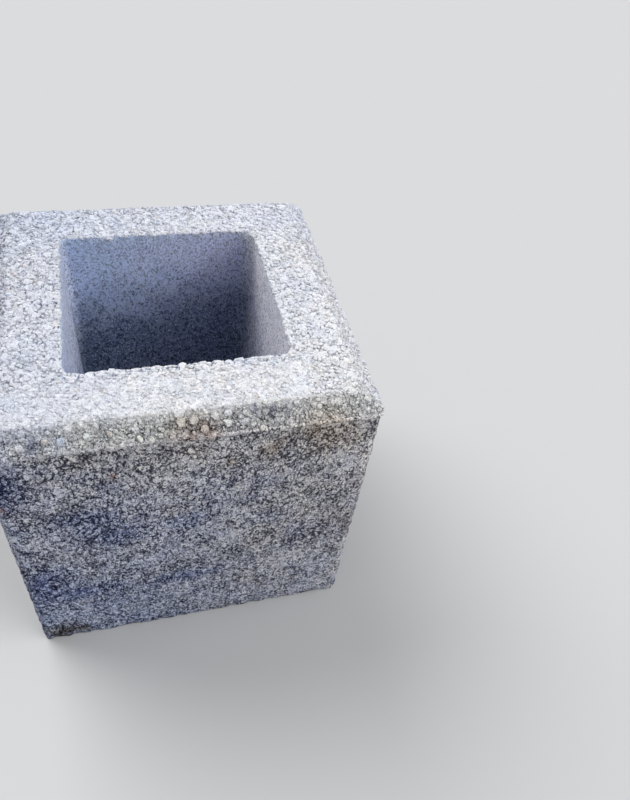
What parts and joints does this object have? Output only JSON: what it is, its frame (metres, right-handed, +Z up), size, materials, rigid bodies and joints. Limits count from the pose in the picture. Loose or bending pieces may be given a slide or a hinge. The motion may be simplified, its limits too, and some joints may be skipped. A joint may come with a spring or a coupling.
{
  "type": "hollow concrete pier block",
  "caption": "Square hollow concrete block with a sloping rim round its top and an open core, stacked to build a pier.",
  "frame": {"origin": "middle of the underside, at the centre of the block's square outline", "axes": "+Z up as the block stands, +X to the right across the front face, +Y towards the back face"},
  "size_m": [0.3, 0.3, 0.3],
  "materials": {
    "concrete": "open-textured pale grey concrete with crushed stone showing, rough and matte"
  },
  "bodies": {
    "root": {"pier_block": "concrete"}
  },
  "joints": []
}
